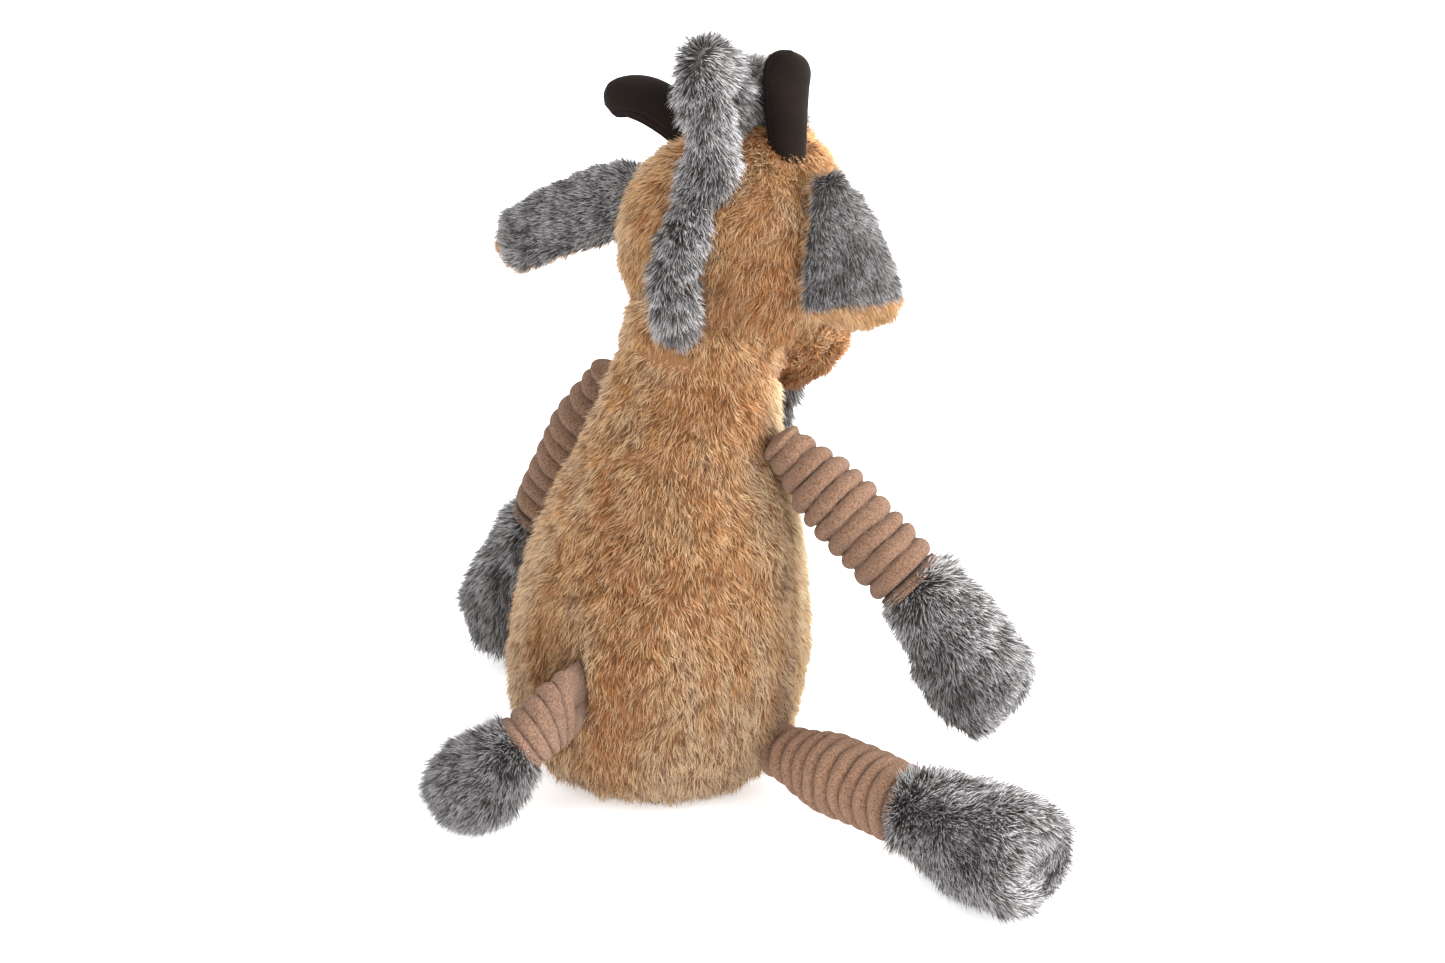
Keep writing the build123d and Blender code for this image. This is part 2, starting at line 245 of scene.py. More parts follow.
def new_piece(name, points, faces, finish, body, values=None):
    """A mesh object from whole arrays of points and faces, riding on a body."""
    corners = np.concatenate([f.ravel() for f in faces]).astype(np.int32)
    sizes = np.concatenate([np.full(len(f), f.shape[1]) for f in faces])
    starts = np.concatenate([[0], np.cumsum(sizes)[:-1]]).astype(np.int32)
    mesh = bpy.data.meshes.new(name)
    mesh.vertices.add(len(points))
    mesh.vertices.foreach_set("co", np.asarray(points, np.float32).ravel())
    mesh.loops.add(len(corners))
    mesh.loops.foreach_set("vertex_index", corners)
    mesh.polygons.add(len(sizes))
    mesh.polygons.foreach_set("loop_start", starts)
    mesh.update(calc_edges=True)
    mesh.polygons.foreach_set("use_smooth", np.full(len(sizes), True))
    for key, value in (values or {}).items():
        mesh.attributes.new(key, "FLOAT", "POINT").data.foreach_set("value", np.asarray(value, np.float32))
    mesh.materials.append(finish.material)
    piece = bpy.data.objects.new(name, mesh)
    scene.collection.objects.link(piece)
    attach(piece, body)
    return piece


def close_poles(grid):
    """Draws the first row and the last row of a grid together into one value each."""
    grid[[0, -1]] = grid[[0, -1]].mean(1, keepdims=True)


def scatter(grid, count, seed):
    """Random roots on a surface, evenly by area: each one's place, outward normal, direction along the rows'
    order, and its place between the first and last row and column as fractions."""
    rng = np.random.default_rng(seed)
    a, b, c, d = grid[:-1, :-1], grid[:-1, 1:], grid[1:, 1:], grid[1:, :-1]
    area = np.linalg.norm(np.cross(c - a, d - b), axis=-1).ravel()
    pick = np.searchsorted(np.cumsum(area) / area.sum(), rng.random(count))
    pick = np.minimum(pick, len(area) - 1)
    row, column = np.divmod(pick, a.shape[1])
    s, t = rng.random((2, count, 1))
    a, b, c, d = a[row, column], b[row, column], c[row, column], d[row, column]
    place = (a * (1 - s) + b * s) * (1 - t) + (d * (1 - s) + c * s) * t
    across = (b - a) * (1 - t) + (c - d) * t
    down = (d - a) * (1 - s) + (c - b) * s
    normal = unit(np.cross(across, down))
    if (normal * (place - place.mean(0))).sum() < 0:
        normal = -normal
    rows, columns = grid.shape[0] - 1, grid.shape[1] - 1
    return place, normal, unit(down), (row + t[:, 0]) / rows, (column + s[:, 0]) / columns


def comb(normals, pull):
    """The direction along the surface that a pull such as gravity gives the pile."""
    return unit(pull - normals * (pull * normals).sum(-1, keepdims=True))


def clumps(place, flow, rng, seed):
    """A value of 0 to 1 for each fibre, alike in the narrow locks that the fibres stick together in."""
    lock = ripple(place - 0.6 * flow * (place * flow).sum(1, keepdims=True), 0.0020, seed + 3)
    return np.clip(0.5 + 0.42 * lock + rng.normal(0, 0.15, len(place)), 0, 1)


FIBRE_ROOT_DEPTH = 0.0006
FIBRE_LOWEST = 0.0003
FIBRE_CORNERS = (math.pi / 2, math.pi * 7 / 6, math.pi * 11 / 6)


def pile(name, place, normal, flow, finish, body, length, width, lift, tone, seed):
    """Plush pile: each fibre is a closed three-sided spike that leaves the cloth at the lift angle to the
    flow and narrows to a point. The tone, with its painted light and shade, is kept for the dye. No fibre
    passes the floor."""
    rng = np.random.default_rng(seed)
    count = len(place)
    swirl = (0.35 * ripple(place, 0.022, seed) + rng.normal(0, 0.3, count))[:, None]
    side = np.cross(normal, flow)
    heading = flow * np.cos(swirl) + side * np.sin(swirl)
    side = np.cross(normal, heading)
    reach = length * rng.uniform(0.7, 1.25, (count, 1)) * (1 + 0.18 * ripple(place, 0.012, seed + 1))[:, None]
    angle = lift + rng.normal(0, 0.16, (count, 1)) + 0.16 * ripple(place, 0.015, seed + 2)[:, None]
    half = 0.5 * width * rng.uniform(0.7, 1.3, (count, 1))
    ahead = heading * np.cos(angle) + normal * np.sin(angle)
    above = normal * np.cos(angle) - heading * np.sin(angle)
    root = place - normal * FIBRE_ROOT_DEPTH
    corners = [root + half * (math.cos(turn) * side + math.sin(turn) * above) for turn in FIBRE_CORNERS]
    points = np.stack([*corners, root + ahead * reach], 1)
    points[..., 2] = np.maximum(points[..., 2], FIBRE_LOWEST)
    shape = [(0, 2, 1)] + [(k, (k + 1) % 3, 3) for k in range(3)]
    faces = (np.arange(count)[:, None, None] * 4 + np.array(shape)).reshape(-1, 3)
    values = {
        "along": np.tile((0.0, 0.0, 0.0, 1.0), count),
        "tone": np.repeat(tone, 4),
        "shade": np.repeat(clumps(place, flow, rng, seed), 4),
    }
    piece = new_piece(name, points.reshape(-1, 3), [faces], finish, body, values)
    # every fibre has a small square of the texture map: its root's triangle, then its three sides
    spot = [((0.0, 0.0), (0.3, 0.0), (0.3, 0.08))]
    spot += [((k / 3, 0.0), ((k + 1) / 3, 0.0), ((2 * k + 1) / 6, 1.0)) for k in range(3)]
    cells = math.ceil(math.sqrt(count))
    corner = np.stack([np.arange(count) % cells, np.arange(count) // cells], -1)[:, None, None, :]
    uv = (corner + 0.1 + 0.8 * np.array(spot)) / cells
    piece.data.uv_layers.new(name="OFBake").data.foreach_set("uv", uv.astype(np.float32).ravel())
    return piece


BLACK, WHITE = (0, 0, 0), (1, 1, 1)


def brown_dye(name, beige, tan, rust, root):
    """Brown plush: the tone sets beige, tan or rust, each fibre differs a little, some locks get a painted
    highlight on their tips and others painted shade, and the roots are darker with painted shade.
    """
    finish = Finish(name, roughness=0.85, sheen=0.1, specular=0.25)
    shade = finish.attribute("shade")
    colour = finish.ramp(finish.attribute("tone"), [(0.0, beige), (0.5, tan), (1.0, rust)])
    # painted highlight: locks with a high shade value get paler beige tips
    tip_highlight = finish.ramp(shade, [(0.0, BLACK), (0.50, BLACK), (0.85, WHITE)])
    colour = finish.mix(tip_highlight * 0.75, colour, tuple(min(1.0, 1.15 * c) for c in beige))
    # painted shade: locks with a low shade value are darkened towards the root colour
    lock_shade = finish.ramp(shade, [(0.0, WHITE), (0.22, WHITE), (0.45, BLACK)])
    colour = finish.mix(lock_shade * 0.8, colour, root)
    # painted shade in the depth of the pile: each fibre darkens to the root colour at its root
    finish.set("Base Color", finish.mix(finish.attribute("along") ** 0.9, root, colour))
    return finish


def backing(name, colour, dark):
    """The knitted backing under the pile: a fine mottled nap."""
    finish = Finish(name, roughness=0.95, sheen=0.2)
    grain = finish.noise(900.0, 3.0)
    finish.set("Base Color", finish.mix(grain, dark, colour))
    finish.bump(grain, 0.0006)
    return finish


# the last colour of each brown dye is the painted shade at the fibres' roots
brown_pile = brown_dye(
    "brown_pile", (0.95, 0.66, 0.405), (0.86, 0.455, 0.18), (0.69, 0.265, 0.07), (0.175, 0.07, 0.022)
)
golden_pile = brown_dye(
    "golden_pile", (1.0, 0.80, 0.54), (0.96, 0.68, 0.38), (0.76, 0.44, 0.18), (0.45, 0.26, 0.11)
)
brown_backing = backing("brown_backing", (0.30, 0.145, 0.055), (0.18, 0.08, 0.03))

# height, forward shift and radius of the torso, from the middle of the seat to the dome inside the neck
TORSO_OUTLINE = np.array([
    (0.8, 0, 0), (0.8, 0, 24), (1.0, 0, 41), (5.0, 0, 51.5), (12, 0, 57), (25, 0, 61.5), (48, 0, 63.2),
    (70, -1.5, 61.5), (92, -5, 57.5), (116, -11, 51.8), (146, -18.5, 41), (168, -25, 34.8), (182, -31, 31.8),
    (194, -36, 26.5), (203, -40, 16), (206, -41, 0),
]) / 1000


def torso_surface(rows, columns):
    """Rings about an upright line that leans forward as it rises, with soft dents along the seams, a slight
    slump to one side low down, and a flat seat."""
    along = np.linspace(0, len(TORSO_OUTLINE) - 1, rows)
    height, shift, radius = spline(along, np.arange(len(TORSO_OUTLINE)), TORSO_OUTLINE).T[..., None]
    around = np.linspace(0, 2 * np.pi, columns)
    level = np.stack([np.cos(around), np.sin(around)], -1)
    seam = np.exp(-(((around - np.pi / 2) / 0.05) ** 2))
    side_seam = sum(np.exp(-(((around - a) / 0.045) ** 2)) for a in (np.pi * 1.045, np.pi * 1.955))
    radius = np.maximum(radius, 0)
    probe = np.stack(np.broadcast_arrays(level[:, 0] * radius, level[:, 1] * radius, height), -1)
    lumps = 0.0011 * ripple(probe, 0.07, 3) * rise(height, 0.004, 0.03)
    soft = radius * (1 - 0.022 * seam - 0.018 * side_seam) + lumps
    soft = np.where(radius > 0.001, soft, 0)
    slump = 0.002 * rise(-height, -0.10, -0.03) - 0.0010 * rise(height, 0.12, 0.17)
    return np.stack(np.broadcast_arrays(level[:, 0] * soft + slump, level[:, 1] * soft + shift, height), -1)


torso_grid = torso_surface(120, 161)
points, faces = grid_faces(torso_grid)
torso_skin = new_piece("torso_skin", points, faces, brown_backing, "torso")
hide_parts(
    "torso_back_left_panel", "torso_back_right_panel", "torso_belly_panel", "torso_seat_panel",
    "torso_stuffing",
)


def joint_place(key, value):
    """Where the joint stands whose key has the value."""
    return np.array(next(joint["pos_m"] for joint in frame["joints"] if joint[key] == value))


# the neck's middle and direction, and half the width of the band of neck between the torso and the head
NECK_PIVOT = joint_place("name", "neck_turn")
NECK_AXIS = np.array((0.0, -0.588, 0.809))
NECK_BAND = 0.0052


def past_neck(points):
    """How far points lie towards the head from the middle of the neck."""
    return (points - NECK_PIVOT) @ NECK_AXIS


place, normal, _, _, _ = scatter(torso_grid, 126000, 11)
keep = (normal[:, 2] > -0.8) & (past_neck(place) < -NECK_BAND + 0.0005)
place, normal = place[keep], normal[keep]
behind = place[:, 1] > -0.004 - 0.148 * place[:, 2]
thinned = np.arange(len(place)) % 5 < 4
streak = ripple(place * (1, 1, 0.35), 0.020, 21) * 0.30 + ripple(place * (1, 1, 0.5), 0.055, 22) * 0.22
# painted light: the sides and the lowest part of the torso are pulled towards beige, paler where more light
# falls
painted_light_flank = rise(np.abs(place[:, 0]), 0.0, 0.05) * 0.28 + rise(-place[:, 2], -0.06, 0.0) * 0.22
tone = np.clip(0.50 + streak - painted_light_flank, 0, 1)
DOWN = np.array((0.0, 0.0, -1.0))
for panel, chosen, dye, cloth in (
    ("torso_back_left_pile", behind & (place[:, 0] > 0), brown_pile, "brown_plush"),
    ("torso_back_right_pile", behind & (place[:, 0] <= 0), brown_pile, "brown_plush"),
    ("torso_belly_pile", ~behind & thinned, golden_pile, "golden_plush"),
):
    spots, out = place[chosen], normal[chosen]
    pile(panel, spots, out, comb(out, DOWN), dye, "torso", 0.0062, 0.00080, 0.40, tone[chosen], 31)

# ---- Neck ----
# A soft ball of filling under the same brown plush. It is sewn to the torso's rim and to the head's,
# and the head nods and turns on it.
NECK_RADIUS = 0.0328


def ball_surface(centre, radius, rows, columns):
    """Rings of latitude and longitude about a centre."""
    polar = np.linspace(0, np.pi, rows)[:, None]
    around = np.linspace(0, 2 * np.pi, columns)
    level = np.sin(polar)
    out = np.broadcast_arrays(level * np.cos(around), level * np.sin(around), np.cos(polar))
    return centre + radius * np.stack(out, -1)


neck_grid = ball_surface(NECK_PIVOT, NECK_RADIUS, 40, 61)
points, faces = grid_faces(neck_grid)
neck_skin = new_piece("neck_skin", points, faces, brown_backing, "neck")
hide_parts("neck_stuffing")
place, normal, _, _, _ = scatter(neck_grid, 26000, 41)
keep = np.abs(past_neck(place)) < NECK_BAND + 0.004
place, normal = place[keep], normal[keep]
tone = np.clip(0.5 + 0.3 * ripple(place, 0.02, 42), 0, 1)
flow = comb(normal, DOWN)
pile("neck_pile", place, normal, flow, brown_pile, "neck", 0.0065, 0.00065, 0.42, tone, 43)

# ---- Head ----
# A round stuffed head of the brown plush in two side panels, running on into a blunt muzzle of darker plush.
# It is sewn to the neck, and the pile runs back from the nose and down to the nape.
CRANIUM = np.array((0.0, -56.0, 222.0)) / 1000
MUZZLE_ROOT = np.array((0.0, -70.0, 201.0)) / 1000
MUZZLE_WAY = unit(np.array((0.0, -0.643, -0.766)))
MUZZLE_SEAM = 0.038
# distance along the muzzle and radius of the round forms that fill it out
MUZZLE_FORMS = np.array([(0, 39.5), (10, 37.5), (20, 35.5), (30, 33.5), (38, 31), (44, 27.5)]) / 1000


def head_surface(rows, columns):
    """From the middle of the cranium, the surface lies where a ray leaves the last of the overlapping round
    forms. The reach is averaged with its neighbours to soften the valleys, and cut flat at the neck."""
    polar = np.linspace(0, np.pi, rows)[:, None]
    around = np.linspace(0, 2 * np.pi, columns)
    first = unit(np.array((0.0, -0.66, -0.75)))
    second = np.array((1.0, 0.0, 0.0))
    third = np.cross(first, second)
    ray = (
        np.cos(polar)[..., None] * first
        + (np.sin(polar) * np.cos(around))[..., None] * second
        + (np.sin(polar) * np.sin(around))[..., None] * third
    )
    centres = [CRANIUM, np.array((-2.0, -45.0, 205.0)) / 1000, np.array((0.0, -68.0, 230.0)) / 1000]
    centres += [MUZZLE_ROOT + MUZZLE_WAY * ahead for ahead, _ in MUZZLE_FORMS]
    radii = [0.0465, 0.0362, 0.0412] + [radius for _, radius in MUZZLE_FORMS]
    reach = np.zeros(ray.shape[:2])
    for centre, radius in zip(centres, radii):
        offset = centre - CRANIUM
        middle = ray @ offset
        inside = middle**2 - offset @ offset + radius**2
        reach = np.maximum(reach, np.where(inside > 0, middle + np.sqrt(np.maximum(inside, 0)), 0))
    for _ in range(10):
        reach[1:-1] = (reach[:-2] + 2 * reach[1:-1] + reach[2:]) / 4
        ring = reach[:, :-1]
        ring = (np.roll(ring, 1, 1) + 2 * ring + np.roll(ring, -1, 1)) / 4
        reach = np.concatenate([ring, ring[:, :1]], 1)
        close_poles(reach)
    grid = CRANIUM + ray * reach[..., None]
    seam_gap = (grid - MUZZLE_ROOT) @ MUZZLE_WAY - MUZZLE_SEAM
    dent = 0.03 * np.exp(-((seam_gap / 0.0016) ** 2)) * rise((ray @ MUZZLE_WAY), 0.2, 0.5)
    grid = CRANIUM + (grid - CRANIUM) * (1 - dent[..., None])
    rim = NECK_BAND + 0.0004
    height, top = past_neck(grid), past_neck(CRANIUM)
    cut = np.where(height < rim, (top - rim) / np.maximum(top - height, 1e-6), 1.0)
    off_neck = np.linalg.norm(grid - NECK_PIVOT - height[..., None] * NECK_AXIS, axis=-1)
    cut = cut + (1 - cut) * rise(off_neck, 0.048, 0.054)
    return CRANIUM + (grid - CRANIUM) * cut[..., None]


head_grid = head_surface(170, 201)
points, faces = grid_faces(head_grid)
head_skin = new_piece("head_skin", points, faces, brown_backing, "head")
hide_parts("head_left_panel", "head_right_panel", "muzzle_cover", "head_stuffing")

EYE_RADIUS = 0.0062
EYE_WAYS = {"left": unit(np.array((0.62, -0.75, 0.22))), "right": unit(np.array((-0.62, -0.75, 0.22)))}
NOSE_WAY = unit(np.array((0.0, -0.96, -0.28)))
NOSE_PLACE = MUZZLE_ROOT + MUZZLE_WAY * 0.044 + NOSE_WAY * 0.0285
place, normal, _, _, _ = scatter(head_grid, 72000, 51)
off_neck = np.linalg.norm(place - NECK_PIVOT - past_neck(place)[:, None] * NECK_AXIS, axis=1)
keep = (past_neck(place) > NECK_BAND + 0.0009) | (off_neck > 0.031)
for way in EYE_WAYS.values():
    keep &= np.linalg.norm(place - CRANIUM - way * 0.050, axis=1) > 0.0085
keep &= np.linalg.norm((place - NOSE_PLACE) * (1, 1, 1.3), axis=1) > 0.0115
place, normal = place[keep], normal[keep]
forward = (place - MUZZLE_ROOT) @ MUZZLE_WAY
to_muzzle = rise((place - CRANIUM) @ MUZZLE_WAY, 0.008, 0.045)[:, None]
pull = (1 - to_muzzle) * np.array((0.0, 0.6, -0.8)) - to_muzzle * (0.6 * MUZZLE_WAY + 0.4 * NOSE_WAY)
flow = comb(normal, pull)
streak = ripple(place * (1, 1, 0.4), 0.018, 52) * 0.28 + ripple(place, 0.05, 53) * 0.2
tone = np.clip(0.60 + streak - 0.62 * rise(place[:, 0], 0.004, 0.036), 0, 1)
muzzle_pile_dye = brown_dye(
    "muzzle_pile", (0.76, 0.46, 0.25), (0.58, 0.29, 0.12), (0.45, 0.18, 0.06), (0.16, 0.07, 0.025)
)
for panel, chosen, dye, cloth in (
    ("head_left_pile", (forward < MUZZLE_SEAM) & (place[:, 0] > 0), brown_pile, "brown_plush"),
    ("head_right_pile", (forward < MUZZLE_SEAM) & (place[:, 0] <= 0), brown_pile, "brown_plush"),
    ("muzzle_pile", forward >= MUZZLE_SEAM, muzzle_pile_dye, "muzzle_plush"),
):
    spots, out = place[chosen], normal[chosen]
    pile(panel, spots, out, flow[chosen], dye, "head", 0.0062, 0.00068, 0.42, tone[chosen], 54)

# ---- Eyes and nose ----
# Two glossy safety eyes with a brown ring, held by washers inside the head, and a suede nose pad sewn to the
# end of the muzzle.
eye_gloss = Finish("eye_gloss", roughness=0.08, specular=0.6)
eye_ring = eye_gloss.attribute("ring")
eye_grain = eye_gloss.noise(500.0, 2.0)
iris = eye_gloss.mix(eye_grain, (0.10, 0.035, 0.012), (0.20, 0.08, 0.025))
pupil = eye_gloss.ramp(eye_ring, [(0.0, BLACK), (0.62, BLACK), (0.68, WHITE), (1.0, WHITE)])
eye_gloss.set("Base Color", eye_gloss.mix(pupil, (0.006, 0.004, 0.004), iris))
washer_plastic = Finish("washer_plastic", roughness=0.5)
washer_grain = washer_plastic.noise(300.0, 2.0)
washer_plastic.set("Base Color", washer_plastic.mix(washer_grain, (0.62, 0.62, 0.60), (0.72, 0.72, 0.70)))


def cap_basis(axis):
    """Two directions square to an axis and to each other."""
    side = unit(np.cross(axis, (0.0, 0.0, 1.0)))
    return side, np.cross(side, axis)


def turned_surface(start, axis, profile, columns, wide=1.0, high=1.0):
    """A profile of distance and radius carried round an axis. Wide and high flatten the rings."""
    side, up = cap_basis(axis)
    around = np.linspace(0, 2 * np.pi, columns)
    ring = wide * np.cos(around)[:, None] * side + high * np.sin(around)[:, None] * up
    return start + profile[:, :1, None] * axis + profile[:, 1:, None] * ring


for side_name, way in EYE_WAYS.items():
    turn = np.linspace(0, np.pi, 25)
    profile = np.stack([0.0055 * np.cos(turn), EYE_RADIUS * np.sin(turn)], -1)
    grid = turned_surface(CRANIUM + way * 0.0505, way, profile, 41)
    points, faces = grid_faces(grid)
    ring = np.linalg.norm(np.cross(points - CRANIUM, way), axis=1) / EYE_RADIUS
    eye = new_piece(f"eye_{side_name}_dome", points, faces, eye_gloss, "head", {"ring": ring})
    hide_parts(f"eye_{side_name}")
    washer = frame["nodes"][f"eye_washer_{side_name}"].data
    washer.materials.clear()
    washer.materials.append(washer_plastic.material)


def suede(name, colour, worn):
    """Soft suede cloth: a fine mottled nap that catches light, paler where it is rubbed."""
    finish = Finish(name, roughness=0.9, sheen=0.04, specular=0.12)
    grain = finish.noise(1400.0, 4.0, 0.65)
    cloud = finish.noise(90.0, 3.0)
    mottle = finish.mix(cloud, colour, worn)
    finish.set("Base Color", finish.mix(grain * 0.5, mottle, tuple(0.5 * c for c in colour)))
    finish.bump(grain, 0.0004)
    return finish


horn_suede = suede("horn_suede", (0.0085, 0.0047, 0.0036), (0.018, 0.0108, 0.0082))
nose_suede = suede("nose_suede", (0.016, 0.010, 0.009), (0.04, 0.026, 0.022))
turn = np.linspace(0, np.pi, 31)
profile = np.stack([0.0042 * np.cos(turn), 0.0095 * np.sin(turn) ** 0.75], -1)
nose_grid = turned_surface(np.zeros(3), NOSE_WAY, profile, 49, 1.0, 0.68)
taper = 1 + 0.35 * (nose_grid @ cap_basis(NOSE_WAY)[1]) / 0.0065
nose_grid = nose_grid * np.stack([taper, np.ones_like(taper), np.ones_like(taper)], -1) + NOSE_PLACE
points, faces = grid_faces(nose_grid)
nose = new_piece("nose_cushion", points, faces, nose_suede, "head")
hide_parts("nose_pad")

# ---- Crest, forelock and beard ----
# A stuffed strip of long grey pile, dark at its roots and pale at its tips. It is sewn from the nape over the
# crown, where it stands up, and a lock of it hangs over the forehead. A small tuft of it hangs from the chin.


def grey_dye(name, dark, middle, pale):
    """Grey long pile: dark roots, pale tips, a share of fibres that stay dark to the tip, and painted shade:
    the tone darkens a whole piece.
    """
    finish = Finish(name, roughness=0.8, sheen=0.1, specular=0.3)
    along, shade = finish.attribute("along"), finish.attribute("shade")
    colour = finish.ramp(along, [(0.0, dark), (0.30, dark), (0.62, middle), (0.88, pale), (1.0, pale)])
    short = finish.ramp(along, [(0.0, dark), (0.75, dark), (1.0, middle)])
    stays_dark = finish.ramp(shade, [(0.0, WHITE), (0.38, WHITE), (0.60, BLACK)])
    colour = finish.mix(stays_dark, colour, short)
    # painted shade: the tone darkens the whole piece towards the root colour, set piece by piece, with a
    # little random mottle
    finish.set("Base Color", finish.mix(finish.attribute("tone") * 0.45, colour, dark))
    return finish


grey_pile = grey_dye("grey_pile", (0.034, 0.026, 0.024), (0.25, 0.232, 0.226), (0.98, 0.97, 0.98))
grey_backing = backing("grey_backing", (0.13, 0.115, 0.11), (0.06, 0.05, 0.048))

# outer and inner point (y, z) and half width of the crest, from its point on the nape to the forehead
CREST = np.array([
    (-17, 184, -24, 188, 4), (-7, 193, -22, 199, 6.5), (2, 206, -16, 211, 7.8), (4, 222, -12, 225, 7.8),
    (0, 239, -16, 236, 7.8), (-10, 253, -24, 246, 7.8), (-20, 267, -38, 256, 8.4), (-22, 284, -46, 262, 8.4),
    (-24, 303, -50, 266, 8.8), (-38, 314, -54, 266, 8.6), (-55, 306, -58, 265, 8), (-67, 290, -62, 262, 7.5),
    (-74, 272, -64, 258, 6.5),
]) / 1000


def fuller(wave):
    """A sine or cosine swollen a little, so that the two together make a rounded oblong."""
    return np.sign(wave) * np.abs(wave) ** 0.8


def strip_surface(stations, rows, columns, sway):
    """Rings from an outer to an inner point, rounded oblongs of the given half width, closed at both ends.
    The middle line sways to one side by the given amounts."""
    along = np.linspace(0, len(stations) - 1, rows)
    path = spline(along, np.arange(len(stations)), stations)
    sway = spline(along, np.arange(len(stations)), sway)
    close = (1 - np.abs(np.linspace(-1, 1, rows)) ** 16)[:, None] ** 0.5
    around = np.linspace(0, 2 * np.pi, columns)
    deep = fuller(np.cos(around))
    wide = fuller(np.sin(around))
    middle = (path[:, :2] + path[:, 2:4]) / 2
    reach = (path[:, :2] - path[:, 2:4]) / 2 * close
    scallop = 1 + 0.10 * np.sin(along * 2 * np.pi / 1.9)[:, None]
    wide = wide * (0.58 + 0.42 * rise(deep, -0.15, 0.35))
    grid = np.stack([
        sway + path[:, 4:] * close * scallop * wide,
        middle[:, :1] + reach[:, :1] * deep,
        middle[:, 1:] + reach[:, 1:] * deep,
    ], -1)
    close_poles(grid)
    return grid


crest_sway = np.array([-1, -3, -6, -7, -7, -7, -7.5, -6.5, -2, 3, 2, 0, 0]) / 1000
crest_grid = strip_surface(CREST, 140, 61, crest_sway)
points, faces = grid_faces(crest_grid)
crest = new_piece("crest_core", points, faces, grey_backing, "head")
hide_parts("crest_cover", "crest_stuffing")
place, normal, down, row, _ = scatter(crest_grid, 38000, 61)
out = unit(place - CRANIUM)
keep = (normal * out).sum(1) > -0.45
place, normal, down, row = place[keep], normal[keep], down[keep], row[keep]
to_front = rise(row, 0.66, 0.80)[:, None]
aside = np.sign(place[:, :1]) * np.array((0.45, 0.0, 0.0))
flow = comb(normal, down * (2 * to_front - 1) + aside + 0.25 * DOWN)
tone = np.clip(0.2 + 0.2 * ripple(place, 0.02, 62), 0, 1)
pile("crest_pile", place, normal, flow, grey_pile, "head", 0.0078, 0.00075, 0.55, tone, 63)

FORELOCK = np.array([
    (-62, 297, -62, 276, 7), (-75, 294, -71, 276, 9), (-86, 286, -80, 270, 9), (-95, 272, -88, 262, 8.5),
    (-102, 257, -94, 252, 7.5), (-105, 243, -99, 243, 5),
]) / 1000
forelock_grid = strip_surface(FORELOCK, 60, 41, np.zeros(6))
points, faces = grid_faces(forelock_grid)
forelock = new_piece("forelock_core", points, faces, grey_backing, "head")
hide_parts("forelock_tuft")
place, normal, down, _, _ = scatter(forelock_grid, 9000, 64)
tone = np.clip(0.45 + 0.3 * ripple(place, 0.02, 65), 0, 1)
flow = comb(normal, down + 0.3 * DOWN)
pile("forelock_pile", place, normal, flow, grey_pile, "head", 0.010, 0.00062, 0.5, tone, 66)

BEARD_ROOT = np.array((0.0, -91.0, 148.0)) / 1000
BEARD = np.array([(0, 0), (0, 8.5), (10, 8.5), (20, 6.5), (28, 3.5), (32, 0)]) / 1000
beard_profile = spline(np.linspace(0, 5, 40), np.arange(6), BEARD)
beard_way = unit(np.array((0.0, 0.12, -1.0)))
beard_grid = turned_surface(BEARD_ROOT, beard_way, np.maximum(beard_profile, 0), 41, 1.0, 0.8)
points, faces = grid_faces(beard_grid)
beard = new_piece("beard_core", points, faces, grey_backing, "head")
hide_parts("beard_tuft")
place, normal, down, _, _ = scatter(beard_grid, 5000, 67)
tone = np.clip(0.45 + 0.3 * ripple(place, 0.02, 68), 0, 1)
flow = comb(normal, down)
pile("beard_pile", place, normal, flow, grey_pile, "head", 0.0095, 0.00062, 0.45, tone, 69)

# ---- Horns ----
# Two soft paddles of dark suede, stuffed flat and curved. The two faces of each meet in a topstitched seam
# along the outer edge, and the root is sewn into the crown.

# middle line (x, y, z), half width and half thickness of each horn, in millimetres
HORNS = {
    "left": [
        (20, -62, 256, 7.5, 6), (26, -60, 265, 9, 6.5), (33, -58, 271.5, 10, 7), (41, -55, 276, 10, 7),
        (49, -52, 277, 9, 6.5), (56, -50, 274, 7, 5), (59.5, -49, 272, 0, 0),
    ],
    "right": [
        (-22, -64, 258, 7.5, 6), (-21.5, -65, 268, 8, 6.5), (-19.5, -67, 279, 9, 7),
        (-19.5, -67, 290, 9.5, 7), (-20.5, -66, 299, 9.8, 6.5), (-22, -65, 305, 7, 5),
        (-23, -65, 308.5, 0, 0),
    ],
}
HORN_FACE = unit(np.array((-0.48, 0.74, 0.47)))


def paddle_surface(stations, face, rows, columns):
    """Oval rings along a curved middle line, flat towards the face, with a doubled groove beside the edge."""
    stations = np.array(stations) / 1000
    along = np.linspace(0, 1, rows) ** 0.8 * (len(stations) - 1)
    path = spline(along, np.arange(len(stations)), stations)
    middle, wide, thick = path[:, :3], np.maximum(path[:, 3:4], 0), np.maximum(path[:, 4:5], 0)
    wide[0] = thick[0] = 0
    ahead = unit(np.gradient(middle, axis=0))
    across = unit(np.cross(ahead, face))
    upright = np.cross(across, ahead)
    around = np.linspace(0, 2 * np.pi, columns)
    stitches = (np.pi - 0.75, np.pi - 0.35, np.pi + 0.35)
    groove = sum(np.exp(-(((around - stitch) / 0.07) ** 2)) for stitch in stitches)
    size = 1 - 0.09 * groove
    aside = (np.cos(around) * wide * size)[..., None] * across[:, None]
    return middle[:, None] + aside + (np.sin(around) * thick * size)[..., None] * upright[:, None]


